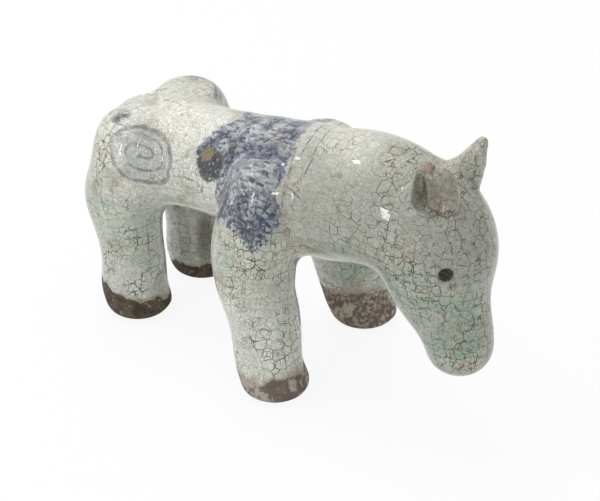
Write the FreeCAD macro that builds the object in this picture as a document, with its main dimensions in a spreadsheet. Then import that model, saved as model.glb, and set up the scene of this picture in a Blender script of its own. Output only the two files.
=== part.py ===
import FreeCAD, Part
import math
import os
import Sketcher
from FreeCAD import Placement, Rotation, Vector

# A hollow, hand-built stoneware horse. It faces +X, +Z is up and its right side faces -Y.
# It is modelled about its own midline, with the ground at Z = 0, and each piece's placement
# then brings the centre of the box around its base to the origin.
#
# Every piece is a clay form: a smooth skin through round sections. A section is written
# as (x, y, z, turn, radius), in expressions of the sheet of sizes. Its circle lies level at
# turn 0 and faces +X at turn 90.

SIZES = {
    # Walls, and the shift of the midline model to its origin.
    "wall": 6.5,
    "sole_thickness": 10,
    "origin_shift_x": 47.4,
    "origin_shift_y": 7.4,
    # Barrel: centre and radius of its sections, from the rump to the chest.
    "rump_x": -88,
    "rump_z": 120.5,
    "rump_radius": 35,
    "rump_depth": 28,
    "loin_x": -45,
    "loin_z": 124.5,
    "loin_radius": 38.3,
    "back_x": -2,
    "back_z": 129,
    "back_radius": 38.5,
    "girth_x": 48,
    "girth_z": 134,
    "girth_radius": 44.5,
    "withers_x": 83,
    "withers_z": 139,
    "withers_radius": 43,
    "chest_depth": 43,
    # Neck: it grows out of the barrel and ends on the crown of the head.
    "neck_root_x": 52,
    "neck_root_z": 134,
    "neck_root_radius": 39,
    "neck_base_x": 80,
    "neck_base_z": 136.5,
    "neck_base_radius": 45,
    "neck_base_angle": 74,
    "neck_middle_x": 107,
    "neck_middle_z": 145,
    "neck_middle_radius": 46.5,
    "neck_middle_angle": 82,
    "neck_crest_x": 138,
    "neck_crest_z": 147,
    "neck_crest_swell": 0.4,
    "neck_crest_angle": 95,
    "neck_end_angle": 104,
    "neck_end_setback": 3.5,
    "neck_seat_clearance": 1.4,
    # Head: a cone that hangs from its round crown. Its shares are of the crown's radius, and
    # forward, drop, side and rise are from the crown's centre.
    "crown_x": 163.5,
    "crown_z": 139.5,
    "crown_radius": 44.8,
    "head_angle": 160,
    "brow_forward_share": 0.2121,
    "brow_drop_share": 0.5804,
    "brow_radius_share": 0.9018,
    "cheek_forward_share": 0.3795,
    "cheek_drop_share": 1.183,
    "cheek_radius_share": 0.6741,
    "nose_forward_share": 0.5804,
    "nose_drop_share": 1.6518,
    "nose_radius_share": 0.562,
    "muzzle_angle": 177,
    "muzzle_depth_share": 0.55,
    "head_width_ratio": 0.88,
    # Ears: cones from a base inside the crown to a round tip, each with a scooped-out cup.
    "ear_root_radius": 10.5,
    "ear_root_depth": 14,
    "ear_base_radius": 16.2,
    "ear_tip_radius": 5,
    "ear_tip_depth": 3.6,
    "ear_side_share": 0.4688,
    "ear_rise_share": 0.8036,
    "ear_height": 32,
    "ear_tip_spread": 3,
    "right_ear_forward_share": 0.2902,
    "right_ear_lean": -1,
    "left_ear_forward_share": 0.2344,
    "left_ear_lean": 13,
    "ear_cup_radius": 8.6,
    "ear_cup_offset": 9.2,
    "ear_cup_forward": 3,
    # Eyes: pits poked into the head with a blunt stick.
    "eye_forward_share": 0.7433,
    "eye_side_share": 0.6205,
    "eye_drop_share": 0.1473,
    "eye_radius": 3.4,
    "eye_bottom_radius": 2,
    "eye_depth": 3.5,
    "eye_angle": 51,
    # Hind legs: a sole, then heights and radii of the level sections up to the haunch.
    "hind_foot_radius": 24.2,
    "hind_foot_edge": 9,
    "hind_ankle_height": 34,
    "hind_ankle_radius": 23.6,
    "hind_shank_height": 64,
    "hind_shank_radius": 24.3,
    "hind_joint_height": 95,
    "hind_joint_radius": 29,
    "hind_joint_x": -79.6,
    "hind_joint_side": 33.3,
    "hind_swell_height": 122,
    "hind_swell_radius": 31.4,
    "hind_swell_x": -71.8,
    "hind_swell_side": 31,
    "hind_crest_height": 142,
    "hind_crest_radius": 28.8,
    "hind_crest_side": 27.5,
    "hind_crest_depth": 19.8,
    "hind_right_foot_x": -72.4,
    "hind_right_foot_y": -31.8,
    "hind_left_foot_x": -73.5,
    "hind_left_foot_y": 39.6,
    # Forelegs: the same, up to the shoulder.
    "fore_foot_radius": 24.6,
    "fore_foot_edge": 9,
    "fore_ankle_height": 34,
    "fore_ankle_radius": 24.2,
    "fore_shank_height": 64,
    "fore_shank_radius": 25.6,
    "fore_joint_height": 95,
    "fore_joint_radius": 28.4,
    "fore_joint_x": 47.6,
    "fore_joint_side": 42.2,
    "fore_swell_height": 125,
    "fore_swell_radius": 33,
    "fore_swell_x": 51.7,
    "fore_swell_side": 32.8,
    "fore_crest_height": 149,
    "fore_crest_radius": 28.6,
    "fore_crest_side": 28.5,
    "fore_crest_depth": 19,
    "fore_right_foot_x": 71.2,
    "fore_right_foot_y": -48,
    "fore_left_foot_x": 62.4,
    "fore_left_foot_y": 62.8,
    # Tail: a short roll of clay that hangs from the rump's end, in the cleft of the haunches.
    "tail_root_radius": 8,
    "tail_tip_radius": 4.5,
    "tail_tip_depth": 3.5,
    "tail_length": 38,
    "tail_root_inset": 7,
    "tail_root_drop": 0,
    "tail_tip_inset": 11,
    "tail_bow": 5.6,
    # Vents for drying and firing: between the hollow pieces, and one through the belly.
    "vent_radius": 4,
    "vent_reach": 22,
    "belly_vent_radius": 3,
    "belly_vent_x": -12,
}

# A round end is drawn through circles at these angles of its quarter ellipse. They are as
# far apart along the skin as the sections before them, or closer, which keeps it smooth.
DOME_ANGLES = (38, 67, 84)

doc = FreeCAD.newDocument("stoneware_horse")
sheet = doc.addObject("Spreadsheet::Sheet", "sizes")
for row, (alias, value) in enumerate(SIZES.items(), start=1):
    sheet.set(f"A{row}", str(value))
    sheet.setAlias(f"A{row}", alias)
doc.recompute()


def cell(name):
    return f"sizes.{name}"


# Forms


def section(x, y, z, turn, radius):
    """One round section. Names of cells and numbers both turn into expressions."""
    return tuple(cell(value) if value in SIZES else str(value) for value in (x, y, z, turn, radius))


def on_midline(station, turn, inset="0"):
    """A section on the midline, as wide as its cell says, less the inset."""
    radius = f"({cell(station + '_radius')} - {inset})"
    return section(station + "_x", "0", station + "_z", turn, radius)


def dome(last, depth, outward, start=0):
    """The sections of a round end that closes a form beyond its last section.

    The end is a quarter ellipse, or what is left of it past the start angle.
    """
    x, y, z, turn, radius = last
    closing = []
    for step in DOME_ANGLES:
        angle = math.radians(start + step * (90 - start) / 90)
        rise = (math.sin(angle) - math.sin(math.radians(start))) / (1 - math.sin(math.radians(start)))
        width = math.cos(angle) / math.cos(math.radians(start))
        along = f"{outward * rise:.5f} * ({depth})"
        closing.append(
            (
                f"{x} + {along} * sin({turn})",
                y,
                f"{z} + {along} * cos({turn})",
                turn,
                f"({radius}) * {width:.5f}",
            )
        )
    return closing


def circle_sketch(body, name, x, y, z, turn, radius):
    """A circle in a sketch of its body, turned about the Y axis and carried to its place."""
    level = next(feature for feature in body.Origin.OriginFeatures if feature.Role == "XY_Plane")
    sketch = body.newObject("Sketcher::SketchObject", name)
    sketch.AttachmentSupport = [(level, "")]
    sketch.MapMode = "FlatFace"
    sketch.AttachmentOffset = Placement(Vector(), Rotation(Vector(0, 1, 0), 1))
    sketch.addGeometry(Part.Circle(Vector(), Vector(0, 0, 1), 1))
    sketch.addConstraint(Sketcher.Constraint("Coincident", 0, 3, -1, 1))
    sketch.addConstraint(Sketcher.Constraint("Radius", 0, 1))
    sketch.renameConstraint(1, "radius")
    sketch.setExpression("AttachmentOffset.Base.x", x)
    sketch.setExpression("AttachmentOffset.Base.y", y)
    sketch.setExpression("AttachmentOffset.Base.z", z)
    sketch.setExpression("AttachmentOffset.Rotation.Angle", turn)
    sketch.setExpression("Constraints.radius", radius)
    return sketch


def form(name, sections):
    """A closed clay form: a body whose skin runs smoothly through its round sections."""
    body = doc.addObject("PartDesign::Body", name)
    circles = [
        circle_sketch(body, f"{name}_section_{number}", *values) for number, values in enumerate(sections)
    ]
    skin = body.newObject("PartDesign::AdditiveLoft", f"{name}_skin")
    skin.Profile = circles[0]
    skin.Sections = circles[1:]
    return body


def narrowed(name, base):
    """A form on the midline, drawn in sideways to the width of the head."""
    scaled = doc.addObject("Part::Scale", name)
    scaled.Base = base
    scaled.Uniform = False
    scaled.setExpression("YScale", cell("head_width_ratio"))
    return scaled


def cut(name, base, *tools):
    """The base less each of the tools in turn."""
    for number, tool in enumerate(tools):
        result = doc.addObject("Part::Cut", name if tool is tools[-1] else f"{name}_cut_{number}")
        result.Base = base
        result.Tool = tool
        base = result
    return base


def common(name, base, tool):
    result = doc.addObject("Part::Common", name)
    result.Base = base
    result.Tool = tool
    return result


def block(name, low, size):
    """A box from its low corner. It only trims pieces, and is larger than the horse."""
    box = doc.addObject("Part::Box", name)
    box.Placement.Base = Vector(*low)
    box.Length, box.Width, box.Height = size
    return box


def bore(name, radius, start, length, direction):
    """A round hole's cutter, from its start along the direction."""
    cylinder = doc.addObject("Part::Cylinder", name)
    cylinder.Placement = Placement(Vector(), Rotation(Vector(0, 0, 1), Vector(*direction)))
    cylinder.setExpression("Radius", cell(radius))
    cylinder.setExpression("Height", length)
    for axis, value in zip("xyz", start):
        cylinder.setExpression(f"Placement.Base.{axis}", value)
    return cylinder


# Trimming blocks: either side of the midline.
REACH = 400
right_side = block("right_side", (-REACH, -REACH, -REACH), (2 * REACH, REACH, 2 * REACH))
left_side = block("left_side", (-REACH, 0, -REACH), (2 * REACH, REACH, 2 * REACH))


# Barrel: a hollow body pressed in two halves, which are luted along the midline.
def barrel_sections(inset="0"):
    return [on_midline(station, "90", inset) for station in ("rump", "loin", "back", "girth", "withers")]


outer = barrel_sections()
inner = barrel_sections("sizes.wall")
barrel_form = form(
    "barrel_form",
    dome(outer[0], "sizes.rump_depth", -1)[::-1] + outer + dome(outer[-1], "sizes.chest_depth", 1),
)
barrel_cavity = form(
    "barrel_cavity",
    dome(inner[0], "sizes.rump_depth - sizes.wall", -1)[::-1]
    + inner
    + dome(inner[-1], "sizes.chest_depth - sizes.wall", 1),
)


# Head: its crown is a full round, and the cone below it ends in a round muzzle.
def of_crown(name):
    """A length that is a share of the crown's radius."""
    return f"sizes.{name}_share * sizes.crown_radius"


def head_section(station, turn, inset="0"):
    x = f"{cell('crown_x')} + {of_crown(station + '_forward')}"
    z = f"{cell('crown_z')} - {of_crown(station + '_drop')}"
    return section(x, "0", z, turn, f"({of_crown(station + '_radius')} - {inset})")


def head_sections(inset="0"):
    return [
        on_midline("crown", "head_angle", inset),
        head_section("brow", "head_angle", inset),
        head_section("cheek", "head_angle", inset),
        head_section("nose", "muzzle_angle", inset),
    ]


outer = head_sections()
inner = head_sections("sizes.wall")
head_round = form(
    "head_round",
    dome(outer[0], "sizes.crown_radius", -1)[::-1] + outer + dome(outer[-1], of_crown("muzzle_depth"), 1),
)
head_hollow = form(
    "head_hollow",
    dome(inner[0], "sizes.crown_radius - sizes.wall", -1)[::-1]
    + inner
    + dome(inner[-1], f"{of_crown('muzzle_depth')} - sizes.wall", 1),
)
head_form = narrowed("head_form", head_round)
head_cavity = narrowed("head_cavity", head_hollow)


# Neck: an open tube between the barrel and the crown, which both close it.
def neck_sections(inset="0"):
    end_x = f"{cell('crown_x')} - {cell('neck_end_setback')}"
    end_radius = f"({cell('crown_radius')} - {cell('neck_seat_clearance')} - {inset})"
    crest_radius = f"({cell('crown_radius')} + {cell('neck_crest_swell')} - {inset})"
    return [
        on_midline("neck_root", "neck_base_angle", inset),
        on_midline("neck_base", "neck_base_angle", inset),
        on_midline("neck_middle", "neck_middle_angle", inset),
        section("neck_crest_x", "0", "neck_crest_z", "neck_crest_angle", crest_radius),
        section(end_x, "0", "crown_z", "neck_end_angle", end_radius),
    ]


neck_form = narrowed("neck_form", form("neck_round", neck_sections()))
neck_cavity = narrowed("neck_cavity", form("neck_hollow", neck_sections("sizes.wall")))


# Legs: each a hollow column on a sole, which swells into the haunch or the shoulder.
def leg_size(pair, name):
    return cell(f"{pair}_{name}")


def leg_sections(pair, side, inset="0"):
    """Level sections from the sole up. Pair is hind or fore, side is right or left."""
    sign = "-1" if side == "right" else "1"
    foot_x = leg_size(pair, f"{side}_foot_x")
    foot_y = leg_size(pair, f"{side}_foot_y")
    joint_x = leg_size(pair, "joint_x")
    joint_y = f"{sign} * {leg_size(pair, 'joint_side')}"
    foot_radius = f"({leg_size(pair, 'foot_radius')} - {inset})"
    sections = [(foot_x, foot_y, "sizes.sole_thickness", "0", foot_radius)]
    for station in ("ankle", "shank"):
        height = leg_size(pair, station + "_height")
        rise = f"{height} / {leg_size(pair, 'joint_height')}"
        x = f"{foot_x} + ({joint_x} - {foot_x}) * {rise}"
        y = f"{foot_y} + ({joint_y} - {foot_y}) * {rise}"
        radius = f"({leg_size(pair, station + '_radius')} - {inset})"
        sections.append((x, y, height, "0", radius))
    for station, x in (("joint", "joint_x"), ("swell", "swell_x"), ("crest", "swell_x")):
        y = f"{sign} * {leg_size(pair, station + '_side')}"
        radius = f"({leg_size(pair, station + '_radius')} - {inset})"
        sections.append((leg_size(pair, x), y, leg_size(pair, station + "_height"), "0", radius))
    return sections


def leg_forms(pair, side):
    """The outer form of a leg, and the cavity in it."""
    depth = leg_size(pair, "crest_depth")
    outer = leg_sections(pair, side)
    inner = leg_sections(pair, side, "sizes.wall")
    outer_form = form(f"{pair}_{side}_form", outer + dome(outer[-1], depth, 1))
    return outer_form, form(f"{pair}_{side}_cavity", inner + dome(inner[-1], f"({depth} - sizes.wall)", 1))


def sole(pair, side):
    """The disc that closes a leg and stands on the ground, with its lower edge rounded."""
    name = f"sole_{pair}_{side}"
    body = doc.addObject("PartDesign::Body", name)
    foot = (leg_size(pair, f"{side}_foot_x"), leg_size(pair, f"{side}_foot_y"), "0", "0")
    disc = body.newObject("PartDesign::Pad", f"{name}_disc")
    disc.Profile = circle_sketch(body, f"{name}_circle", *foot, leg_size(pair, "foot_radius"))
    disc.setExpression("Length", "sizes.sole_thickness")
    doc.recompute()
    lowest = min(range(len(disc.Shape.Edges)), key=lambda index: disc.Shape.Edges[index].CenterOfMass.z)
    edge = body.newObject("PartDesign::Fillet", f"{name}_edge")
    edge.Base = (disc, [f"Edge{lowest + 1}"])
    edge.setExpression("Radius", f"min({leg_size(pair, 'foot_edge')}; 0.95 * sizes.sole_thickness)")
    return body


legs = {(pair, side): leg_forms(pair, side) for pair in ("hind", "fore") for side in ("right", "left")}


# Angle between an ear's side and its axis near the tip, in degrees, and the shares of its
# height where its straight taper is drawn.
EAR_TAPER = 24
EAR_SHARES = (0, 0.38, 0.64, 0.8, 0.88)


# Ears: cones on the crown. The cup opens to the side and a little forward.
def ear_point(side, share):
    """The centre of an ear's section, at a share of the way from its base to its tip."""
    sign = "-1" if side == "right" else "1"
    forward = of_crown(f"{side}_ear_forward")
    lean = cell(f"{side}_ear_lean")
    x = f"{cell('crown_x')} + {forward} + {share} * {lean}"
    y = f"{sign} * ({of_crown('ear_side')} + {share} * {cell('ear_tip_spread')})"
    z = f"{cell('crown_z')} + {of_crown('ear_rise')} + {share} * {cell('ear_height')}"
    return x, y, z


def ear_forms(side):
    """The outer cone of an ear, and the scoop that hollows it."""
    sign = -1 if side == "right" else 1
    x, y, z = ear_point(side, 0)
    root = (x, y, f"{z} - {cell('ear_root_depth')}", "0", cell("ear_root_radius"))
    taper = []
    for share in EAR_SHARES:
        narrowing = f"{share / EAR_SHARES[-1]:.4f} * (sizes.ear_base_radius - sizes.ear_tip_radius)"
        taper.append(ear_point(side, share) + ("0", f"(sizes.ear_base_radius - {narrowing})"))
    tip = dome(taper[-1], "sizes.ear_tip_depth", 1, EAR_TAPER)
    cone = form(f"ear_{side}_form", [root] + taper + tip)
    scoops = []
    for share, width in ((0, 0.3), (0.12, 0.82), (0.32, 1), (0.55, 0.82), (0.74, 0.5), (0.86, 0.22)):
        x, y, z = ear_point(side, share)
        outward = f"{cell('ear_cup_offset')} * {1 - 0.55 * share:.3f}"
        radius = f"{cell('ear_cup_radius')} * {width}"
        scoops.append((f"{x} + {cell('ear_cup_forward')}", f"{y} + {sign} * {outward}", z, "0", radius))
    return cone, form(f"ear_{side}_scoop", scoops)


# Tail: level sections from the tip up to the root, which ends inside the rump.
tail_sections = []
for share in (1, 0.9, 0.75, 0.5, 0.2, -0.2):
    hang = f"{share} * sizes.tail_length"
    inset = f"sizes.tail_root_inset + {share} * (sizes.tail_tip_inset - sizes.tail_root_inset)"
    bow = f"{4 * share * (1 - share):.2f} * sizes.tail_bow"
    radius = f"(sizes.tail_root_radius - {share} * (sizes.tail_root_radius - sizes.tail_tip_radius))"
    x = f"sizes.rump_x - sizes.rump_depth + {inset} - {bow}"
    tail_sections.append((x, "0", f"sizes.rump_z - sizes.tail_root_drop - {hang}", "0", radius))
tail_form = form("tail_form", dome(tail_sections[0], "sizes.tail_tip_depth", -1)[::-1] + tail_sections)


# Vents: one through the crown into the barrel, one into each leg, one through the belly.
throat_vent = bore(
    "throat_vent",
    "vent_radius",
    ("sizes.withers_x", "0", "sizes.withers_z"),
    "sizes.crown_x - sizes.withers_x",
    (1, 0, 0),
)
leg_vents = []
for pair in ("hind", "fore"):
    low = f"{leg_size(pair, 'joint_height')} - sizes.vent_reach"
    rise = f"{leg_size(pair, 'swell_height')} - ({low})"
    for side, sign in (("right", -1), ("left", 1)):
        y = f"{sign} * ({leg_size(pair, 'joint_side')} - sizes.wall)"
        start = (leg_size(pair, "swell_x"), y, low)
        leg_vents.append(bore(f"{pair}_{side}_vent", "vent_radius", start, rise, (0, 0, 1)))
belly_vent = bore(
    "belly_vent",
    "belly_vent_radius",
    ("sizes.belly_vent_x", "0", "sizes.back_z - sizes.back_radius - sizes.wall"),
    "3 * sizes.wall",
    (0, 0, 1),
)


# Eyes: cones that narrow inwards, square to the brow. Each reaches as far out of the skin
# as into it.
def eye_pit(side):
    sign = -1 if side == "right" else 1
    yaw = math.radians(SIZES["eye_angle"])
    inward = Vector(-math.cos(yaw), -sign * math.sin(yaw), 0)
    pit = doc.addObject("Part::Cone", f"eye_{side}")
    pit.Placement = Placement(Vector(), Rotation(Vector(0, 0, 1), inward))
    pit.setExpression("Radius1", "2 * sizes.eye_radius - sizes.eye_bottom_radius")
    pit.setExpression("Radius2", "sizes.eye_bottom_radius")
    pit.setExpression("Height", "2 * sizes.eye_depth")
    out_x = "sizes.eye_depth * cos(sizes.eye_angle)"
    out_y = "sizes.eye_depth * sin(sizes.eye_angle)"
    pit.setExpression("Placement.Base.x", f"sizes.crown_x + {of_crown('eye_forward')} + {out_x}")
    pit.setExpression("Placement.Base.y", f"{sign} * ({of_crown('eye_side')} + {out_y})")
    pit.setExpression("Placement.Base.z", f"sizes.crown_z - {of_crown('eye_drop')}")
    return pit


# Pieces: where two forms meet, the one that was made first keeps its wall and the later
# one is trimmed to lie face to face on it.
barrel = cut("barrel", barrel_form, barrel_cavity, throat_vent, belly_vent, *leg_vents)
pieces = {
    "barrel_right_half": common("barrel_right_half", barrel, right_side),
    "barrel_left_half": common("barrel_left_half", barrel, left_side),
    "head": cut("head", head_form, head_cavity, throat_vent, eye_pit("right"), eye_pit("left")),
    "neck": cut("neck", neck_form, neck_cavity, barrel_form, head_form),
}
LEG_NAMES = {"hind": "hind_leg", "fore": "foreleg"}
for (pair, side), (outer, cavity) in legs.items():
    name = f"{LEG_NAMES[pair]}_{side}"
    pieces[name] = cut(name, outer, cavity, barrel_form, neck_form)
    pieces[f"sole_{pair}_{side}"] = sole(pair, side)
for side in ("right", "left"):
    cone, scoop = ear_forms(side)
    pieces[f"ear_{side}"] = cut(f"ear_{side}", cone, scoop, head_form, neck_form)
hind_forms = [legs["hind", side][0] for side in ("right", "left")]
pieces["tail"] = cut("tail", tail_form, barrel_form, *hind_forms)

for name, piece in pieces.items():
    piece.Label = name
    piece.setExpression("Placement.Base.x", "-sizes.origin_shift_x")
    piece.setExpression("Placement.Base.y", "-sizes.origin_shift_y")

doc.recompute()
for thing in doc.Objects:
    if {"Invalid", "Error"} & set(thing.State):
        raise SystemExit(f"{thing.Name} is {thing.State}")
for name, piece in pieces.items():
    if piece.Shape.isNull() or not piece.Shape.isValid() or piece.Shape.Volume <= 0:
        raise SystemExit(f"{name} has no valid solid")

os.makedirs("parts", exist_ok=True)
for name, piece in pieces.items():
    piece.Shape.exportStep(f"parts/{name}.step")
    box = piece.Shape.optimalBoundingBox(False)
    print(
        f"{name:20s} solids {len(piece.Shape.Solids)}  {piece.Shape.Volume / 1000:8.2f} cm3  "
        f"x {box.XMin:7.1f} {box.XMax:7.1f}  y {box.YMin:7.1f} {box.YMax:7.1f}  "
        f"z {box.ZMin:7.1f} {box.ZMax:7.1f}"
    )
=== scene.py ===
import math

import bpy
import numpy as np
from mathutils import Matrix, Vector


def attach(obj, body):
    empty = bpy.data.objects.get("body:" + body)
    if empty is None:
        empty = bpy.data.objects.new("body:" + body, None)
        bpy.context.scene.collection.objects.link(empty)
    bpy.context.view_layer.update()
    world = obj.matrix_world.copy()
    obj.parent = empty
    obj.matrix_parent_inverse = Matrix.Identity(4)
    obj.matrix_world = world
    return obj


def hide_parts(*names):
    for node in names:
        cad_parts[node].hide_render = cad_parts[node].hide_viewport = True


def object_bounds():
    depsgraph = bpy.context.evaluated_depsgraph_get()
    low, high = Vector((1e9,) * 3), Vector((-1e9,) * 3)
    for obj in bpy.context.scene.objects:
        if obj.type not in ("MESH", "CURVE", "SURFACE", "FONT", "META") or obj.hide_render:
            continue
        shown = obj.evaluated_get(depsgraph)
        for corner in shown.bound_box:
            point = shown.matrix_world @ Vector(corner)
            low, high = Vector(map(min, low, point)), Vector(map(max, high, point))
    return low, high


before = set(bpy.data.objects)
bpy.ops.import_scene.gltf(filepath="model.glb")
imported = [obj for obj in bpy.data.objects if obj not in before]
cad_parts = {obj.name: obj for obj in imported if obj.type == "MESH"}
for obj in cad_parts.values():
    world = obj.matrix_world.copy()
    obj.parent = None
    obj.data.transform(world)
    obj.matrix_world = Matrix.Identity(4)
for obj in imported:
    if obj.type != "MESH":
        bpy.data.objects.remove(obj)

import openvdb
from mathutils import Matrix, Vector

cad_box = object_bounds()


# ---------------------------------------------------------------- the clay figure
# The horse is one fired body of stoneware. Its legs, ears and tail were luted on and the
# joints were smeared over by hand, so one skin is drawn around all the clay pieces, with
# hollows that follow a potter's thumb. It is worked out as distances on a grid.
class Block:
    """The space around the horse, cut into cubes whose corners carry one value each."""

    def __init__(self, step, margin):
        self.step = step
        self.low = np.floor((np.array(cad_box[0]) - margin) / step).astype(int)
        high = np.ceil((np.array(cad_box[1]) + margin) / step).astype(int)
        self.shape = tuple(int(count) for count in high - self.low + 1)
        self.transform = openvdb.createLinearTransform(voxelSize=step)

    def lines(self):
        """The X, Y and Z of the corners, each laid along its own axis of an array."""
        lines = [(np.arange(self.shape[k]) + self.low[k]) * self.step for k in range(3)]
        return np.ix_(*[line.astype(np.float32) for line in lines])

    def distances(self, points, triangles=None, quads=None, outside=0.008, inside=0.008):
        """Signed distance to a closed surface, minus inside it and plus outside it, held at
        the two limits where it is further away."""
        grid = openvdb.FloatGrid.createLevelSetFromPolygons(
            points,
            triangles=triangles,
            quads=quads,
            transform=self.transform,
            exBandWidth=outside / self.step,
            inBandWidth=inside / self.step,
        )
        values = np.empty(self.shape, np.float32)
        grid.copyToArray(values, ijk=tuple(int(i) for i in self.low))
        return values

    def skin_at(self, values, level):
        """The surface of points and quads where the distance equals the level."""
        grid = openvdb.FloatGrid(float(values.max()))
        grid.copyFromArray(values, ijk=tuple(int(i) for i in self.low))
        grid.transform = self.transform
        return grid.convertToQuads(level)

    def filled(self, values, radius):
        """Fills creases: the skin is grown by the radius, measured again, and shrunk back by
        it, which leaves a hollow fillet of that radius wherever two clay forms meet."""
        points, quads = self.skin_at(values, radius)
        return self.distances(points, quads=quads, inside=radius + 0.009) + np.float32(radius)

    def sampled(self, values, points):
        """Values at any points, by trilinear weights."""
        place = points / self.step - self.low
        cell = np.clip(np.floor(place).astype(int), 0, np.array(self.shape) - 2)
        part = place - cell
        total = 0
        for corner in range(8):
            shift = [(corner >> axis) & 1 for axis in range(3)]
            weight = 1
            for axis in range(3):
                weight = weight * (part[:, axis] if shift[axis] else 1 - part[:, axis])
            total = total + weight * values[tuple(cell[:, axis] + shift[axis] for axis in range(3))]
        return total

    def slopes(self, values, points):
        """Direction in which the values grow fastest, from differences either way."""
        columns = []
        for axis in range(3):
            step = np.zeros(3)
            step[axis] = 0.75 * self.step
            columns.append(self.sampled(values, points + step) - self.sampled(values, points - step))
        slope = np.stack(columns, axis=1)
        return slope / np.maximum(np.linalg.norm(slope, axis=1, keepdims=True), 1e-9)


def recut(values, old, new):
    """The same values on the corners of another block, in line along each axis."""
    for axis in range(3):
        place = (np.arange(new.shape[axis]) + new.low[axis]) * new.step / old.step - old.low[axis]
        place = np.clip(place, 0, old.shape[axis] - 1.001)
        first = np.floor(place).astype(int)
        part = (place - first).astype(np.float32).reshape([-1 if k == axis else 1 for k in range(3)])
        values = values.take(first, axis) * (1 - part) + values.take(first + 1, axis) * part
    return values


def softened(values, width, step):
    """A Gaussian mean of the values, along each axis in turn."""
    reach = int(math.ceil(2.5 * width / step))
    offsets = np.arange(-reach, reach + 1)
    weights = np.exp(-0.5 * (offsets * step / width) ** 2)
    weights = (weights / weights.sum()).astype(np.float32)
    for axis in range(3):
        padded = np.pad(values, [(reach, reach) if k == axis else (0, 0) for k in range(3)], mode="edge")
        total = np.zeros_like(values)
        for offset, weight in zip(offsets, weights):
            part = [slice(None)] * 3
            part[axis] = slice(offset + reach, offset + reach + values.shape[axis])
            total += weight * padded[tuple(part)]
        values = total
    return values


def luted(first, second, width):
    """Two clay forms pressed together: the lesser distance, less a rounding of the seam."""
    near = np.clip(width - np.abs(first - second), 0, None)
    return np.minimum(first, second) - near * near / (4 * width)


def ramp(values, start, end):
    """Rises smoothly from 0 at the start to 1 at the end."""
    share = np.clip((values - start) / (end - start), 0, 1)
    return share * share * (3 - 2 * share)


def pebble(block, centre, radii, azimuth, lean=0.0):
    """Distance to an egg shape of three radii: with k the length of place / radii and m the
    length of place / radii squared, it is k (k - 1) / m. Its first radius points to the
    azimuth, and its long one leans back from there."""
    x, y, z = [line - np.float32(middle) for line, middle in zip(block.lines(), centre)]
    turn, tip = math.radians(azimuth), math.radians(lean)
    along = x * math.cos(turn) + y * math.sin(turn)
    across = y * math.cos(turn) - x * math.sin(turn)
    along, upward = along * math.cos(tip) + z * math.sin(tip), z * math.cos(tip) - along * math.sin(tip)
    k = np.sqrt((along / radii[0]) ** 2 + (across / radii[1]) ** 2 + (upward / radii[2]) ** 2)
    m = np.sqrt((along / radii[0] ** 2) ** 2 + (across / radii[1] ** 2) ** 2 + (upward / radii[2] ** 2) ** 2)
    return k * (k - 1) / np.maximum(m, 1e-6)


def scooped(values, tool, width):
    """A tool's shape taken out of the clay, its rim rounded over the width."""
    return -luted(-values, tool, width)


def clay_surface(names):
    """The corner points and the triangles of some of the frame's clay pieces."""
    points, triangles, count = [], [], 0
    for name in names:
        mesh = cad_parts[name].data
        mesh.calc_loop_triangles()
        corners = np.empty(len(mesh.vertices) * 3, np.float32)
        mesh.vertices.foreach_get("co", corners)
        faces = np.empty(len(mesh.loop_triangles) * 3, np.int32)
        mesh.loop_triangles.foreach_get("vertices", faces)
        points.append(corners.reshape(-1, 3))
        triangles.append(faces.reshape(-1, 3) + count)
        count += len(mesh.vertices)
    return np.concatenate(points), np.concatenate(triangles).astype(np.uint32)


midline = -0.0074
rough = Block(step=0.002, margin=0.02)
fine = Block(step=0.0016, margin=0.006)
trunk_names = [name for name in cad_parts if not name.startswith(("ear_", "tail"))]
trunk_points, trunk_faces = clay_surface(trunk_names)
# The hole under the belly is stopped while the skin is drawn, so that no skin forms inside.
plug_low, plug_high = (-0.0646, -0.0126, 0.0903), (-0.0542, -0.0022, 0.0948)
plug_points = np.array(
    [[(plug_low, plug_high)[(corner >> axis) & 1][axis] for axis in range(3)] for corner in range(8)],
    np.float32,
)
plug_faces = np.array(
    [
        (0, 2, 3), (0, 3, 1), (4, 5, 7), (4, 7, 6), (0, 1, 5), (0, 5, 4),
        (2, 6, 7), (2, 7, 3), (0, 4, 6), (0, 6, 2), (1, 3, 7), (1, 7, 5),
    ],
    np.uint32,
)
trunk = rough.distances(
    np.concatenate([trunk_points, plug_points]),
    np.concatenate([trunk_faces, plug_faces + len(trunk_points)]),
    outside=0.017,
)
narrow_fillets = rough.filled(trunk, 0.004)
wide_fillets = rough.filled(trunk, 0.009)
# The fillets stay narrow in the cleft between the haunches and under the tail.
wide_share = ramp(rough.lines()[0], -0.150, -0.105)
trunk = narrow_fillets + (wide_fillets - narrow_fillets) * wide_share
clay = softened(recut(trunk, rough, fine), 0.0028, fine.step)

ears = softened(fine.distances(*clay_surface(["ear_right", "ear_left"])), 0.0009, fine.step)
tail = softened(fine.distances(*clay_surface(["tail"])), 0.0012, fine.step)
clay = luted(clay, tail, 0.005)
# Below its tip the far ear's front edge slants back to the head.
grid_x, grid_y, grid_z = fine.lines()
forward, sideways_out, edge_at, tip_z, slope = 0.773, 0.634, 0.1218, 0.190, 0.33
slant = grid_x * forward + grid_y * sideways_out - edge_at + np.clip(tip_z - grid_z, 0, None) * slope
ears = np.where(grid_y > 0, -luted(-ears, -slant.astype(np.float32), 0.004), ears)
clay = luted(clay, ears, 0.0040 + 0.0050 * ramp(-grid_y, -0.003, 0.012))

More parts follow.
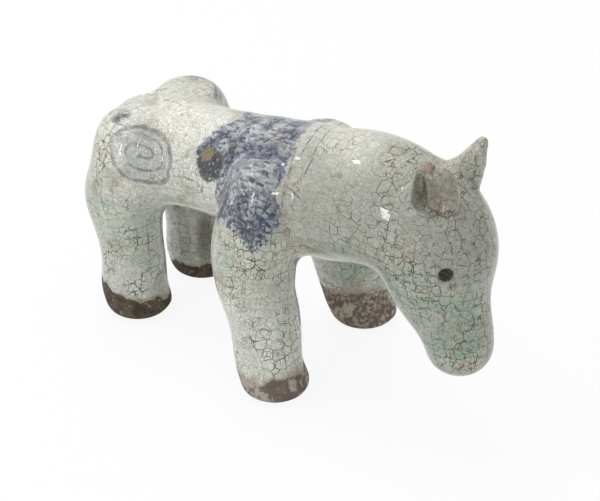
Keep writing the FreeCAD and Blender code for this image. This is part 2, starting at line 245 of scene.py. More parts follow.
# Hand-made hollows and swellings, set where the form missed the photo's outline: the
# place and the reach in millimetres, and how far in.
thumbs = [
    ((-136, -66, 112), 22, 1.4),
    ((-138, -22, 156), 20, 1.0),
    ((-52, 6, 168), 20, -1.3),
    ((-26, 4, 171), 20, -1.2),
    ((10, 31, 166), 14, -0.8),
    ((113, 9, 183), 12, -2.0),
    ((141, -42, 170), 10, 1.6),
    ((146, -39, 165), 5, -0.9),
    ((163, -3, 136), 14, -0.6),
    ((166, -7, 73), 12, 0.6),
    ((133, -29, 70), 12, -0.8),
    ((1, 19, 54), 16, 2.0),
    ((6, 30, 18), 13, -1.7),
    ((38, 59, 12), 12, -1.8),
    ((-2, -76, 76), 28, -1.7),
    ((14, -78, 16), 13, 1.0),
    ((38, -47, 45), 18, 1.3),
    ((25, -37, 86), 13, -1.7),
    ((-101, -33, 58), 18, 1.4),
    ((-98, -31, 13), 11, -1.7),
    ((150, -35, 134), 9, -0.7),
    ((150, 20, 134), 9, -0.7),
]
for (x, y, z), reach, press in thumbs:
    away = (grid_x - x / 1000) ** 2 + (grid_y - y / 1000) ** 2 + (grid_z - z / 1000) ** 2
    clay += np.float32(press / 1000) * np.exp(-2 * away / (reach / 1000) ** 2) * ramp(grid_z, 0.002, 0.010)

# The near ear is a folded leaf: a full inner lobe, and a deep fold behind its outer rim.
ear_faces = 39.4
lobe_form = pebble(fine, (0.1368, -0.0250, 0.1850), (0.0112, 0.0095, 0.0185), ear_faces, lean=14)
outer_cup = pebble(fine, (0.1400, -0.0368, 0.1880), (0.0095, 0.0080, 0.0165), ear_faces, lean=14)
deep_fold = pebble(fine, (0.1292, -0.0372, 0.1885), (0.0040, 0.0110, 0.0130), ear_faces, lean=6)
clay = luted(clay, lobe_form, 0.002)
clay = scooped(clay, outer_cup, 0.002)
clay = scooped(clay, deep_fold, 0.002)

# The eyes are holes pressed in with a stick, and the belly has one for the air to leave by.
eye_x, eye_side, eye_z = 0.1500, 0.0278, 0.1330
for side in (-1, 1):
    eye_middle = (eye_x, midline + eye_side * side, eye_z)
    eye_hole = pebble(fine, eye_middle, (0.0036, 0.0050, 0.0044), azimuth=50.7 * side)
    clay = scooped(clay, eye_hole, 0.001)
belly_hole = pebble(fine, (-0.0594, midline, 0.0862), (0.0030, 0.0030, 0.0110), azimuth=0)
clay = scooped(clay, belly_hole, 0.001)

skin_points, skin_quads = fine.skin_at(clay, 0.0)
skin_points = skin_points.astype(float)
# Two steps down the slope bring the points onto the form, and none goes below the ground.
for _ in range(2):
    skin_points -= fine.slopes(clay, skin_points) * fine.sampled(clay, skin_points)[:, None]
skin_points[:, 2] = np.maximum(skin_points[:, 2], 0)

skin_mesh = bpy.data.meshes.new("horse_skin")
skin_mesh.vertices.add(len(skin_points))
skin_mesh.vertices.foreach_set("co", skin_points.astype(np.float32).ravel())
skin_mesh.loops.add(skin_quads.size)
skin_mesh.polygons.add(len(skin_quads))
skin_mesh.polygons.foreach_set("loop_start", np.arange(0, skin_quads.size, 4, dtype=np.int32))
corner_a, corner_b, corner_c = (skin_points[skin_quads[:, k]] for k in (0, 1, 2))
face_normals = np.cross(corner_b - corner_a, corner_c - corner_a)
if np.sum(face_normals * fine.slopes(clay, corner_a), axis=1).mean() < 0:
    skin_quads = skin_quads[:, ::-1]
skin_mesh.loops.foreach_set("vertex_index", skin_quads.astype(np.int32).ravel())
skin_mesh.update(calc_edges=True)
skin_mesh.validate()
skin_mesh.polygons.foreach_set("use_smooth", np.ones(len(skin_quads), bool))
horse = bpy.data.objects.new("horse_skin", skin_mesh)
bpy.context.scene.collection.objects.link(horse)

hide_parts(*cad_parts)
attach(horse, "root")


# ---------------------------------------------------------------- the crackle glaze
# A pale grey-green glaze covers the clay down to the feet. It shrank more than the clay and
# broke into squarish cells, and brown and green stain was rubbed into the cracks. Cobalt
# painting lies under it, and the feet were wiped bare before the firing.
def srgb(red, green, blue):
    """A colour as a screen shows it, from 0 to 255, as the linear light the shader needs."""
    shares = [value / 255 for value in (red, green, blue)]
    return tuple(s / 12.92 if s <= 0.04045 else ((s + 0.055) / 1.055) ** 2.4 for s in shares) + (1,)


class Wire:
    """One socket of a material. Sums and products of wires and numbers add Math nodes."""

    def __init__(self, finish, socket):
        self.finish, self.socket = finish, socket

    def maths(self, operation, *values):
        return self.finish.node("ShaderNodeMath", {"operation": operation}, dict(enumerate(values)))

    def __add__(self, other):
        return self.maths("ADD", self, other)

    def __mul__(self, other):
        return self.maths("MULTIPLY", self, other)

    def __sub__(self, other):
        return self.maths("SUBTRACT", self, other)

    def __rsub__(self, other):
        return self.maths("SUBTRACT", other, self)

    def __truediv__(self, other):
        return self.maths("DIVIDE", self, other)

    __radd__, __rmul__ = __add__, __mul__

    def greater(self, other):
        return self.maths("MAXIMUM", self, other)

    def lesser(self, other):
        return self.maths("MINIMUM", self, other)

    def magnitude(self):
        return self.maths("ABSOLUTE", self)

    def root(self):
        return self.maths("SQRT", self)

    def rising(self, start, end):
        """Goes smoothly from 0 at the start to 1 at the end, or the other way round."""
        low, high = (start, end) if start < end else (end, start)
        risen = self.finish.node(
            "ShaderNodeMapRange",
            {"interpolation_type": "SMOOTHSTEP"},
            {"Value": self, "From Min": low, "From Max": high},
        )
        return risen if start < end else 1 - risen


class Finish:
    """The nodes of one material."""

    def __init__(self, name):
        self.material = bpy.data.materials.new(name)
        self.material.use_nodes = True
        self.tree = self.material.node_tree
        self.shader = self.tree.nodes["Principled BSDF"]
        self.place = self.node("ShaderNodeTexCoord", output="Object")

    def node(self, kind, settings={}, inputs={}, output=0):
        """Adds a node: its settings first, then the values or wires of its sockets."""
        node = self.tree.nodes.new(kind)
        for name, value in settings.items():
            setattr(node, name, value)
        self.feed(node, inputs)
        return Wire(self, node.outputs[output])

    def feed(self, node, inputs):
        for name, value in inputs.items():
            if isinstance(value, Wire):
                self.tree.links.new(value.socket, node.inputs[name])
            else:
                node.inputs[name].default_value = value

    def mixed(self, share, first, second):
        """The first colour, turned into the second by the share."""
        return self.node("ShaderNodeMix", {"data_type": "RGBA"}, {0: share, 6: first, 7: second}, 2)

    def channel(self, colour, index):
        """The red, green or blue of a colour, for index 0, 1 or 2."""
        return self.node("ShaderNodeSeparateColor", {}, {0: colour}, index)

    def vector(self, operation, first, second, output=0):
        return self.node("ShaderNodeVectorMath", {"operation": operation}, {0: first, 1: second}, output)

    def noise(self, size, at=None, detail=2.0, distortion=0.0, seed=0.0, output="Fac"):
        """Cloudy noise whose lumps are about as long as the size, in metres."""
        at = at or self.place
        if seed:
            at = self.vector("ADD", at, (seed, seed * 0.7, -seed * 1.3))
        return self.node(
            "ShaderNodeTexNoise",
            {},
            {"Vector": at, "Scale": 1 / size, "Detail": detail, "Distortion": distortion},
            output,
        )

    def cells(self, size, at, feature="F1", output="Distance", randomness=1.0):
        """Cells about as wide as the size. Distances come in metres."""
        found = self.node(
            "ShaderNodeTexVoronoi",
            {"feature": feature},
            {"Vector": at, "Scale": 1 / size, "Randomness": randomness},
            output,
        )
        return found * size if output == "Distance" else found

    def painted(self, name):
        """A value that is kept on the points of the mesh."""
        return self.node("ShaderNodeAttribute", {"attribute_name": name}, output="Fac")


def keep(name, values):
    """Stores one number for each point of the skin, for the finish to read."""
    layer = skin_mesh.attributes.new(name, "FLOAT", "POINT")
    layer.data.foreach_set("value", values.astype(np.float32))


def to_line(points, line):
    """Shortest distance from points on a plane to a line through corners."""
    nearest = np.full(len(points), 1.0)
    for start, end in zip(line[:-1], line[1:]):
        run = end - start
        share = np.clip((points - start) @ run / (run @ run), 0, 1)
        nearest = np.minimum(nearest, np.linalg.norm(points - start - share[:, None] * run, axis=1))
    return nearest


def within(points, outline):
    """True inside a closed outline: a ray along the first axis crosses it an odd number of
    times."""
    crossed = np.zeros(len(points), bool)
    for start, end in zip(outline[:-1], outline[1:]):
        spans = (start[1] > points[:, 1]) != (end[1] > points[:, 1])
        place = start[0] + (points[:, 1] - start[1]) * (end[0] - start[0]) / (end[1] - start[1] + 1e-12)
        crossed ^= spans & (points[:, 0] < place)
    return crossed


# Hollows, where glaze pools, dirt stays and shade is painted: how far the skin lies under its own blurred
# form.
keep("hollow", fine.sampled(softened(clay, 0.0035, fine.step), skin_points))

# How far the skin lies outside the inner lobe of the near ear.
keep("off_ear_lobe", fine.sampled(lobe_form, skin_points))

# How far each point is from the edge where the glaze was wiped off a foot, upwards. The edge
# leans: its place, its height at the middle, and how much higher it is towards a direction.
feet = [
    ((-0.1198, -0.0392), 0.0225, (-0.0065, -0.001)),
    ((-0.1209, 0.0322), 0.0150, (0.001, 0.001)),
    ((0.0238, -0.0554), 0.0190, (0.0005, 0.001)),
    ((0.0150, 0.0554), 0.0285, (0.002, -0.006)),
]
foot_radius, far_off = 0.024, 0.1
above = np.full(len(skin_points), far_off)
nearest_foot = np.full(len(skin_points), 1.0)
for (x, y), height, lean in feet:
    aside = skin_points[:, :2] - (x, y)
    gap = np.linalg.norm(aside, axis=1)
    edge = height + (aside @ np.array(lean)) / foot_radius
    above = np.where(gap < nearest_foot, skin_points[:, 2] - edge, above)
    nearest_foot = np.minimum(nearest_foot, gap)
keep("above_edge", np.minimum(above, far_off))

# The saddle-cloth and the harness are drawn on the flat: the place along the horse in
# millimetres, and degrees round its body from the spine, down its right side and minus on
# the left, where the cloth lies further back. The right side's corners were chosen in
# the photo and carried onto the skin through the camera. The left side's are a guess.
girth_middle_z, girth_radius = 0.128, 0.044
round_body = np.arctan2(midline - skin_points[:, 1], skin_points[:, 2] - girth_middle_z)
flat = np.stack([skin_points[:, 0], round_body * girth_radius], axis=1)


def laid_out(pairs):
    """Millimetres along and degrees round, as metres on the flat."""
    return np.array([(along / 1000, math.radians(degrees) * girth_radius) for along, degrees in pairs])


cloth_edge = laid_out([
    (13, 0), (17, 15), (21, 35), (23, 46.5), (24, 61), (29.3, 76), (28, 92), (22, 101), (14, 97),
    (4, 91), (-8, 90), (-27, 97), (-36, 89), (-34, 71), (-44, 70), (-54, 65.5), (-60, 54),
    (-57.6, 39), (-52.5, 18), (-47, 0), (-50, -18), (-57, -39), (-60, -54), (-52, -66), (-38, -72),
    (-38, -90), (-24, -97), (-6, -88), (0, -66), (3.3, -43), (8, -20), (13, 0),
])
keep("in_cloth", np.where(within(flat, cloth_edge), 1, -1) * to_line(flat, cloth_edge))
harness = [
    [(8, -60), (11, -40), (18, -12), (24.7, 12), (27.6, 29), (27, 43), (27.6, 52), (33.3, 54), (41, 58)],
    [(20, -45), (22, -28), (29, -6), (34.1, 11), (37.5, 28), (36.9, 42), (31, 50)],
    [(19, 20), (24.1, 36), (27.4, 55), (29.7, 72)],
]
keep("off_strap", np.minimum.reduce([to_line(flat, laid_out(strap)) for strap in harness]))

glaze = Finish("crackle_glaze")
skin_mesh.materials.append(glaze.material)
px, py, pz = (glaze.node("ShaderNodeSeparateXYZ", {}, {0: glaze.place}, k) for k in range(3))
sideways = (py - midline).magnitude()
mirrored = glaze.node("ShaderNodeCombineXYZ", {}, {0: px, 1: sideways, 2: pz})
hollow, above_edge, in_cloth, off_strap = (
    glaze.painted(name) for name in ("hollow", "above_edge", "in_cloth", "off_strap")
)


def around(x, side, z):
    """Distance from a place that is mirrored on both sides of the horse."""
    return glaze.vector("DISTANCE", mirrored, (x, side, z), "Value")


# Cracks: large cells, each broken into small squarish ones at an angle of its own, so that
# fine cracks end on coarse ones. The stain is strong low down and faint over the back.
drift = glaze.vector("SUBTRACT", glaze.noise(0.009, detail=1.0, output="Color"), (0.5, 0.5, 0.5))
drift = glaze.node("ShaderNodeVectorMath", {"operation": "SCALE"}, {0: drift, "Scale": 0.0028})
bent = glaze.vector("ADD", glaze.place, drift)


def along_the_skin(size, at, out, randomness):
    """The distance to the nearest cell wall, measured along the skin: d / sqrt(1 - s * s),
    where s is how fast the distance d grows straight out from the skin. A slanting wall
    then makes a crack no wider than an upright one."""
    step = 0.00002
    out_at = glaze.vector("ADD", at, glaze.vector("MULTIPLY", out, (step, step, step)))
    inside = glaze.cells(size, at, "DISTANCE_TO_EDGE", randomness=randomness)
    outside = glaze.cells(size, out_at, "DISTANCE_TO_EDGE", randomness=randomness)
    slope = (outside - inside) / step
    flat = (1 - slope * slope).greater(0.04)
    return inside / flat.root()


coarse_size, coarse_order = 0.0074, 0.50
small_size, small_order = 0.0039, 0.42
outwards = glaze.node("ShaderNodeTexCoord", output="Normal")
coarse = along_the_skin(coarse_size, bent, outwards, coarse_order)
coarse_cell = glaze.cells(coarse_size, bent, output="Color", randomness=coarse_order)
cell_tone = glaze.channel(coarse_cell, 0)


def spun_by_cell(vector):
    """The vector turned about one slanting axis, by an angle of each large cell's own."""
    return glaze.node(
        "ShaderNodeVectorRotate",
        {"rotation_type": "AXIS_ANGLE"},
        {"Vector": vector, "Axis": (0.5, -0.7, 0.5), "Angle": cell_tone * 9},
    )


small_at = glaze.vector("ADD", spun_by_cell(bent), coarse_cell)
small = along_the_skin(small_size, small_at, spun_by_cell(outwards), small_order)
small_cell = glaze.cells(small_size, small_at, output="Color", randomness=small_order)
stain = glaze.noise(0.026, detail=3.0, seed=3.1)
wear = glaze.noise(0.0036, detail=2.0, seed=5.7)
low_down = pz.rising(0.170, 0.125)
head_end = px.rising(0.055, 0.105)
coarse_half = 0.00009 + wear.rising(0.35, 0.75) * 0.00017
coarse_line = 1 - (coarse / coarse_half).rising(0.8, 2.6)
small_half = 0.00007 + wear.rising(0.4, 0.8) * 0.00012
small_line = 1 - (small / small_half).rising(0.8, 2.8)
coarse_share = 0.32 + 0.20 * low_down + 0.25 * head_end + 0.40 * stain.rising(0.35, 0.65)
small_share = stain.rising(0.32, 0.62) * (0.35 + 0.40 * low_down + 0.25 * head_end) + 0.20
broken = glaze.noise(0.0085, detail=2.0, seed=23.0)
rubbed_in = glaze.noise(0.014, detail=2.0, seed=24.0).rising(0.40, 0.62)
depth_of_stain = (0.60 + 0.70 * rubbed_in).greater(head_end * 0.95)
coarse_line = coarse_line * broken.rising(0.26, 0.42)
small_line = small_line * broken.rising(0.66, 0.48)
crack = (coarse_line * coarse_share).greater(small_line * small_share) * depth_of_stain
hair_edge = glaze.cells(0.0021, small_at, "DISTANCE_TO_EDGE", randomness=0.7)
hairline = 1 - hair_edge.rising(0.00004, 0.00030)
calm = glaze.noise(0.040, detail=2.0, seed=27.0).rising(0.58, 0.50).greater(head_end)
crack = crack * (0.50 + 0.50 * calm)
hairline = hairline * stain.rising(0.62, 0.44) * 0.42
crack = crack.greater(hairline).lesser(1.0) * wear.rising(0.25, 0.5)

# Glaze colour: ivory over the back, partly ivory glaze and partly painted light from
# above, celadon below, greener where it ran thick, and rosy where it is thin over the clay.
cloud = glaze.noise(0.045, detail=3.0, seed=1.3)
patch = glaze.noise(0.018, detail=3.0, seed=2.2)
# Lighter towards the top: partly ivory glaze and partly painted light.
ivory_and_top_light_share = (pz + (cloud - 0.5) * 0.09).rising(0.115, 0.178)
colour = glaze.mixed(ivory_and_top_light_share, srgb(197, 200, 188), srgb(222, 221, 210))
colour = glaze.mixed(patch.rising(0.48, 0.68) * 0.5 * low_down, colour, srgb(168, 190, 176))
colour = glaze.mixed(pz.rising(0.100, 0.050) * cloud.rising(0.40, 0.55) * 0.7, colour, srgb(204, 210, 202))
# Broad tones by place, set until the render's patches came near the photo's, partly glaze
# tone and partly painted light and shade: painted shade greys the head, the low neck, the
# chest and the far haunch, and painted light makes the near foreleg and flank paler.
# Partly painted shade: the head and the low neck greyer.
low_neck_painted_shade = px.rising(0.030, 0.075) * pz.rising(0.170, 0.120)
colour = glaze.mixed((head_end * 0.60).greater(low_neck_painted_shade * 0.75), colour, srgb(163, 170, 158))
pooled = patch.rising(0.42, 0.58) * low_down * px.rising(0.010, 0.040)
colour = glaze.mixed(pooled * 0.55, colour, srgb(142, 164, 148))
# Partly painted shade: the chest greyer.
chest_painted_shade = px.rising(0.000, 0.035) * pz.rising(0.200, 0.172) * pz.rising(0.110, 0.140)
colour = glaze.mixed(chest_painted_shade * 0.80, colour, srgb(166, 169, 159))
# Partly painted light: the near foreleg paler.
near_foreleg_painted_light = px.rising(-0.030, -0.010) * px.rising(0.100, 0.080)
near_foreleg_painted_light = pz.rising(0.115, 0.060) * near_foreleg_painted_light * py.rising(0.000, -0.020)
colour = glaze.mixed(near_foreleg_painted_light * 0.75, colour, srgb(220, 223, 214))
# Partly painted light: the near flank paler.
near_flank_painted_light = px.rising(-0.010, -0.035) * px.rising(-0.135, -0.110)
near_flank_painted_light = near_flank_painted_light * py.rising(0.010, -0.010) * pz.rising(0.090, 0.120)
colour = glaze.mixed(near_flank_painted_light * 0.45, colour, srgb(244, 243, 236))
# Partly painted shade: the top of the far haunch greyer.
far_haunch_painted_shade = px.rising(-0.060, -0.080) * py.rising(0.005, 0.020) * pz.rising(0.150, 0.165)
colour = glaze.mixed(far_haunch_painted_shade * 0.40, colour, srgb(186, 186, 172))
colour = glaze.mixed(cloud.rising(0.50, 0.68) * patch.rising(0.42, 0.6) * 0.8, colour, srgb(198, 188, 172))
worn = glaze.noise(0.028, detail=4.0, seed=7.9).rising(0.54, 0.7)
colour = glaze.mixed(worn * 0.6, colour, srgb(164, 156, 138))
tone = glaze.channel(small_cell, 0)
grain = glaze.noise(0.0014, detail=4.0, seed=4.4)
speckle = glaze.noise(0.0030, detail=5.0, seed=25.0)
shade = 0.90 + tone * 0.10 + (grain - 0.5) * 0.45 + (speckle - 0.5) * 0.40
shade = glaze.node("ShaderNodeCombineXYZ", {}, {0: shade, 1: shade, 2: shade})
colour = glaze.vector("MULTIPLY", colour, shade)

# Cobalt: the saddle-cloth is dabbed on in rings and short strokes, the harness is brushed
# lines, and the haunch has a plain spiral in a ring.
ragged = (glaze.noise(0.0050, detail=3.0, seed=11.0) - 0.5) * 0.010
cloth = (in_cloth + ragged).rising(-0.0010, 0.0008)
dab_at = glaze.vector("ADD", mirrored, glaze.vector("MULTIPLY", drift, (0.8, 0.8, 0.8)))
dab = glaze.cells(0.0050, dab_at, "DISTANCE_TO_EDGE", randomness=0.95)
dab_tone = glaze.channel(glaze.cells(0.0050, dab_at, output="Color", randomness=0.95), 1)
blot = glaze.noise(0.0042, detail=4.0, distortion=0.8, seed=12.0)
flow = glaze.noise(0.014, detail=3.0, seed=13.0)
stroke_at = glaze.node(
    "ShaderNodeMapping",
    {},
    {"Vector": mirrored, "Rotation": (0, 0.5, 0.2), "Scale": (0.35, 1.0, 1.0)},
)
stroke = glaze.noise(0.0032, at=stroke_at, detail=3.0, distortion=0.5)
upper = pz.rising(0.146, 0.162)
dabbed = dab.rising(0.0011, 0.0002) * blot.rising(0.35, 0.5)
dabbed = dabbed.greater(dab_tone.rising(0.55, 0.70) * blot.rising(0.38, 0.55) * 0.85)
dabbed = dabbed + (stroke.rising(0.46, 0.60) - dabbed) * upper * 0.75
pooled_blue = (flow + pz.rising(0.152, 0.130) * 0.07).rising(0.53, 0.62)
pooled_blue = pooled_blue * blot.rising(0.38, 0.50) * 0.95
dabbed = (dabbed * flow.rising(0.10, 0.34)).greater(pooled_blue)
strap = 1 - (off_strap + (wear - 0.5) * 0.0012).rising(0.0002, 0.0011)
strap = strap * glaze.noise(0.008, seed=14.0).rising(0.34, 0.55)
wash = around(-0.1223, 0.0395, 0.1612).rising(0.0115, 0.0030) * blot.rising(0.36, 0.60)
roundel_middle = (-0.0976, 0.0468, 0.1414)
roundel_ahead, roundel_up = (0.93, -0.18, 0.32), (-0.23, -0.42, 0.88)
from_middle = glaze.vector("SUBTRACT", mirrored, roundel_middle)
ahead = glaze.vector("DOT_PRODUCT", from_middle, roundel_ahead, "Value") + (flow - 0.5) * 0.010
upward = glaze.vector("DOT_PRODUCT", from_middle, roundel_up, "Value") + (cloud - 0.5) * 0.008
from_centre = (ahead * ahead + upward * upward).root()
turns = upward.maths("ARCTAN2", upward, ahead) / math.tau
turns_per_metre, ring_radius = 115, 0.0190
curl = from_centre * turns_per_metre - turns
curl = (curl.maths("FRACT", curl) - 0.5).magnitude()
brushed = curl.rising(0.17, 0.04) * from_centre.rising(0.0160, 0.0140)
rim = (from_centre - ring_radius).magnitude()
hair = glaze.noise(0.0060, detail=4.0, seed=15.0)
brushed = brushed.greater(rim.rising(0.0021, 0.0007)) * (0.35 + hair.rising(0.36, 0.56) * 0.65)
on_haunch = around(*roundel_middle).rising(0.034, 0.030)
brushed = brushed * on_haunch
tint = from_centre.rising(0.022, 0.012) * on_haunch
cobalt = (cloth * dabbed * speckle.rising(0.34, 0.48)).greater(strap * 0.8)
cobalt = cobalt.greater(wash * 0.85).greater(brushed * 0.55).lesser(1.0)
wash_tone = glaze.mixed(flow.rising(0.42, 0.60), srgb(178, 184, 188), srgb(100, 110, 132))
colour = glaze.mixed((cloth * 0.72).greater(tint * 0.30), colour, wash_tone)
blue = glaze.mixed(blot.rising(0.40, 0.60), srgb(76, 88, 122), srgb(38, 46, 72))
colour = glaze.mixed(cobalt, colour, blue)

# The lobe at the back of the cloth: an iron-brown spot, and a netted black one below it.
to_lobe = around(-0.0495, 0.0295, 0.1515) + (blot - 0.5) * 0.005
to_net = around(-0.0440, 0.0345, 0.1470) + (blot - 0.5) * 0.006
lobe = to_net.rising(0.0130, 0.0105)
netted = glaze.cells(0.0030, bent, "DISTANCE_TO_EDGE").rising(0.0008, 0.0002)
black_share = 0.35 + netted.greater(blot.rising(0.42, 0.56)) * 0.6
colour = glaze.mixed(lobe * black_share, colour, srgb(54, 54, 56))
iron = to_lobe.rising(0.0062, 0.0042)
colour = glaze.mixed(iron * 0.85, colour, srgb(146, 130, 104))
colour = glaze.mixed(iron * crack, colour, srgb(70, 58, 44))

# Stain in and beside the cracks: olive below, brown in patches, grey over the back.
halo = (1 - (coarse / 0.0010).rising(0.0, 1.0)) * stain.rising(0.42, 0.66) * 0.35
brown_share = glaze.noise(0.022, detail=2.0, seed=9.1).rising(0.45, 0.6)
olive = glaze.mixed(brown_share, srgb(58, 70, 50), srgb(84, 66, 44))
crack_colour = glaze.mixed(low_down.greater(head_end), srgb(104, 102, 88), olive)
colour = glaze.mixed(halo, colour, srgb(134, 130, 104))
colour = glaze.mixed(crack, colour, crack_colour)

# Rust: pinholes that bled iron, in loose swarms; and the hollows darker, partly dirt and partly painted
# shade.
swarm = glaze.noise(0.024, detail=2.0, seed=6.3).rising(0.52, 0.68)
speck = (1 - glaze.cells(0.0052, glaze.vector("ADD", bent, (0.4, 0.1, 0.2))).rising(0.0004, 0.0013)) * swarm
colour = glaze.mixed(speck * 0.8, colour, srgb(118, 84, 56))
bleed = glaze.noise(0.006, detail=3.0, seed=8.5).rising(0.56, 0.68)
bleed = bleed * glaze.noise(0.035, seed=2.9).rising(0.48, 0.62)
colour = glaze.mixed(bleed * (0.20 + tone.rising(0.45, 0.60) * 0.45), colour, srgb(144, 112, 82))
# The hollows darker: partly dirt, partly painted shade.
dirt_and_painted_shade = hollow.rising(-0.0004, -0.0017)
colour = glaze.mixed(dirt_and_painted_shade * 0.55, colour, srgb(104, 98, 84))

# The ears: a dark fold, stain with painted shadow, and on the near one a rosy tip, a haze of
# dirt with painted shade in its hollows, and a dark seam.
# Painted shadow with stain, deep in the fold of each ear.
ear_fold_stain_and_shadow = around(0.1292, 0.0290, 0.1885).rising(0.0130, 0.0070)
ear_fold_stain_and_shadow = ear_fold_stain_and_shadow * hollow.rising(0.0002, -0.0006) * px.rising(0.1230, 0.1255)
ear_fold_stain_and_shadow_colour = glaze.mixed(speckle.rising(0.4, 0.6), srgb(52, 50, 40), srgb(92, 88, 74))
colour = glaze.mixed(ear_fold_stain_and_shadow * 0.9, colour, ear_fold_stain_and_shadow_colour)
near_side = py.rising(-0.008, -0.014)
tip = around(0.1300, 0.0275, 0.2045) + (speckle - 0.5) * 0.008
tip = tip.rising(0.0095, 0.0030) * near_side
colour = glaze.mixed(tip * 0.6, colour, srgb(150, 122, 98))
off_ear_lobe = glaze.painted("off_ear_lobe")
seam = off_ear_lobe.rising(0.0001, 0.0007) * off_ear_lobe.rising(0.0030, 0.0014)
seam = seam * px.rising(0.128, 0.134) * pz.rising(0.164, 0.170)
# A haze of dirt over the near ear's lobe, with painted shade where it is hollow.
near_ear_dirt_and_shade = around(0.1370, 0.0190, 0.1870) + (speckle - 0.5) * 0.010
near_ear_dirt_and_shade = near_ear_dirt_and_shade.rising(0.0190, 0.0090) * px.rising(0.126, 0.132) * pz.rising(0.164, 0.172)
near_ear_dirt_and_shade = near_ear_dirt_and_shade * near_side * (0.40 + speckle.rising(0.40, 0.60) * 0.5)
# Darker where the lobe is hollow: painted shade.
near_ear_dirt_and_shade_colour = glaze.mixed(hollow.rising(-0.0002, -0.0012), srgb(126, 116, 100), srgb(86, 78, 64))
colour = glaze.mixed(near_ear_dirt_and_shade, colour, near_ear_dirt_and_shade_colour)
colour = glaze.mixed(seam * (0.35 + speckle.rising(0.42, 0.56) * 0.45), colour, srgb(88, 74, 56))

# The eyes: dark inside, with a rubbed brown rim.
to_eye = around(0.1494, eye_side, eye_z)
eye = to_eye.rising(0.0058, 0.0044)
eye_colour = glaze.mixed(grain.rising(0.4, 0.6), srgb(40, 42, 36), srgb(74, 76, 68))
colour = glaze.mixed(to_eye.rising(0.0085, 0.0060) * 0.45, colour, srgb(150, 138, 116))
colour = glaze.mixed(eye, colour, eye_colour)

# Bare clay at the feet: brown-grey, with flecks of glaze left on it; darker brown low on the
# inner side of the far hind leg.
broad = glaze.noise(0.016, detail=4.0, seed=26.0)
fore_foot = px.rising(-0.02, 0.0)
far_fore = py.rising(0.0, 0.020) * fore_foot
ragged_edge = (glaze.noise(0.010, detail=4.0, seed=16.0) - 0.5) * 0.016
bare = (above_edge + ragged_edge).rising(0.0008, -0.0006)
rust_line = (above_edge + ragged_edge).rising(0.0050, 0.0005)
spattered = (above_edge + ragged_edge * 1.5).rising(0.0120, -0.0020) * speckle.rising(0.46, 0.56)
rust_line = rust_line.greater(far_fore * spattered)
clay_tone = glaze.noise(0.007, detail=4.0, seed=17.0)
earth = glaze.mixed(clay_tone.rising(0.35, 0.65), srgb(68, 58, 48), srgb(96, 84, 70))
fleck = glaze.noise(0.0030, detail=3.0, seed=18.0).rising(0.60, 0.68) * clay_tone.rising(0.42, 0.56)
earth = glaze.mixed(fleck * 0.6, earth, srgb(160, 152, 136))
pale = (broad + (speckle - 0.5) * 0.35).rising(0.53, 0.62) * (0.55 + speckle.rising(0.40, 0.55) * 0.4)
earth = glaze.mixed(fore_foot * pale, earth, srgb(182, 176, 168))
rusty = glaze.mixed((speckle + (broad - 0.5) * 0.6).rising(0.40, 0.66), srgb(84, 66, 50), srgb(200, 190, 172))
earth = glaze.mixed(far_fore * 0.85, earth, rusty)
earth = glaze.mixed(fore_foot * 0.30, earth, srgb(158, 148, 138))
# Darker brown low on the inner side of the far hind leg.
squashed_place = glaze.node("ShaderNodeCombineXYZ", {}, {0: px, 1: py, 2: pz * 0.3})
far_hind_inner_dark = glaze.vector("DISTANCE", squashed_place, (-0.1030, 0.0170, 0.0120), "Value").rising(0.0100, 0.0030)
colour = glaze.mixed(far_hind_inner_dark * 0.75, colour, srgb(78, 64, 50))
colour = glaze.mixed(rust_line * 0.6, colour, srgb(138, 112, 86))
colour = glaze.mixed(bare, colour, earth)

# Relief: the cracks are fine grooves, the glaze is slightly wavy, and the clay is coarse.
relief = (
    crack * -0.00004
    + (glaze.noise(0.0120, detail=1.0, seed=19.0) - 0.5) * 0.0007
    + (glaze.noise(0.0022, detail=2.0, seed=20.0) - 0.5) * 0.00010
    + bare * (glaze.noise(0.0010, detail=3.0, seed=21.0) - 0.5) * 0.0005
    + bare * -0.0003
)
bump = glaze.node("ShaderNodeBump", {}, {"Height": relief, "Distance": 1.0, "Strength": 1.0})
glaze.feed(
    glaze.shader,
    {
        "Base Color": colour,
        "Roughness": 0.34 + bare * 0.40 + dirt_and_painted_shade * 0.20 + (grain - 0.5) * 0.12,
        "Specular IOR Level": 0.25,
        "Coat Weight": (1 - bare.greater(eye)) * 0.5,
        "Coat Roughness": 0.05,
        "Normal": bump,
    },
)

# ---------------------------------------------------------------- the photograph's set
floor_mesh = bpy.data.meshes.new("floor")
floor_mesh.from_pydata([(-3, -3, 0), (3, -3, 0), (3, 3, 0), (-3, 3, 0)], [], [(0, 1, 2, 3)])
floor = bpy.data.objects.new("floor", floor_mesh)
bpy.context.scene.collection.objects.link(floor)
floor_paint = Finish("floor_paint")
floor_mesh.materials.append(floor_paint.material)
floor_paint.feed(floor_paint.shader, {"Base Color": (0.85, 0.85, 0.85, 1), "Roughness": 0.9})
seen = floor_paint.node("ShaderNodeLightPath", output="Is Camera Ray").greater(
    floor_paint.node("ShaderNodeLightPath", output="Is Glossy Ray")
)
white = floor_paint.node("ShaderNodeEmission", {}, {"Color": (1, 1, 1, 1), "Strength": 1.0}, "Emission")
laid = floor_paint.node(
    "ShaderNodeMixShader",
    {},
    {0: seen * 0.9, 1: Wire(floor_paint, floor_paint.shader.outputs["BSDF"]), 2: white},
    "Shader",
)
floor_paint.feed(floor_paint.tree.nodes["Material Output"], {"Surface": laid})

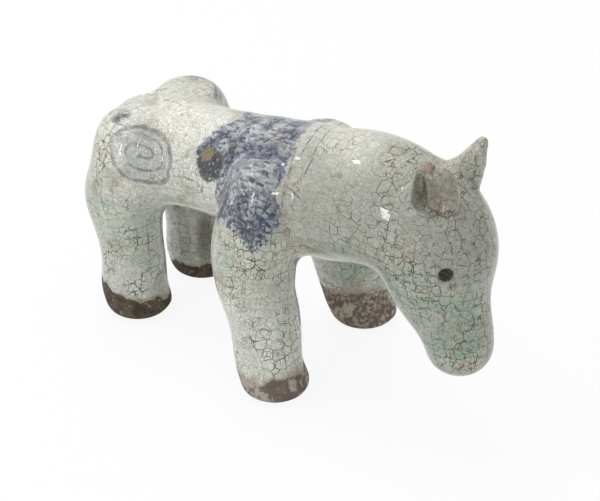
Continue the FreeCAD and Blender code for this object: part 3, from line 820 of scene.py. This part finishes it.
world = bpy.data.worlds.new("studio")
bpy.context.scene.world = world
world.use_nodes = True
sky = world.node_tree
ray = sky.nodes.new("ShaderNodeLightPath")
level = sky.nodes.new("ShaderNodeMapRange")
level.inputs["To Min"].default_value = 0.66
level.inputs["To Max"].default_value = 1.0
sky.links.new(ray.outputs["Is Camera Ray"], level.inputs["Value"])
sky.links.new(level.outputs["Result"], sky.nodes["Background"].inputs["Strength"])
sky.nodes["Background"].inputs["Color"].default_value = (1, 1, 1, 1)



def towards(azimuth, elevation):
    """A unit vector from the horse, at angles round it from its right side and upwards."""
    az, el = math.radians(azimuth), math.radians(elevation)
    return Vector((math.sin(az) * math.cos(el), -math.cos(az) * math.cos(el), math.sin(el)))


camera_azimuth, camera_elevation, camera_distance = 39.38, 31.55, 1.5
aim = Vector((0.00668, midline, 0.08251))
back = towards(camera_azimuth, camera_elevation)
right = towards(camera_azimuth + 90, 0)
up = back.cross(right)
camera_data = bpy.data.cameras.new("camera")
camera_data.lens = 130.07
camera_data.sensor_width = 36
camera = bpy.data.objects.new("camera", camera_data)
bpy.context.scene.collection.objects.link(camera)
facing = Matrix((right, up, back)).transposed().to_4x4()
camera.matrix_world = Matrix.Translation(aim + back * camera_distance) @ facing
bpy.context.scene.camera = camera


def softbox(name, azimuth, elevation, distance, width, height, watts, glossy=True):
    """A flat lamp that faces the horse, from angles around it."""
    away = towards(azimuth, elevation)
    lamp = bpy.data.lights.new(name, "AREA")
    lamp.shape = "RECTANGLE"
    lamp.size, lamp.size_y = width, height
    lamp.energy = watts
    stand = bpy.data.objects.new(name, lamp)
    bpy.context.scene.collection.objects.link(stand)
    stand.location = Vector((0, 0, 0.1)) + away * distance
    stand.rotation_euler = away.to_track_quat("Z", "Y").to_euler()
    stand.visible_glossy = glossy


softbox("key_lamp", -32, 48, 1.5, 0.8, 0.8, 2.5, glossy=False)
softbox("top_lamp", -110, 66, 1.5, 0.8, 0.8, 9.5, glossy=False)
softbox("window_left", -6, 14, 1.4, 0.09, 0.30, 1.9)
softbox("window_top", -62, 54, 1.4, 0.14, 0.14, 1.4)
softbox("window_right", 42, 25, 1.4, 0.08, 0.12, 0.8)

bpy.context.scene.view_settings.view_transform = "Standard"
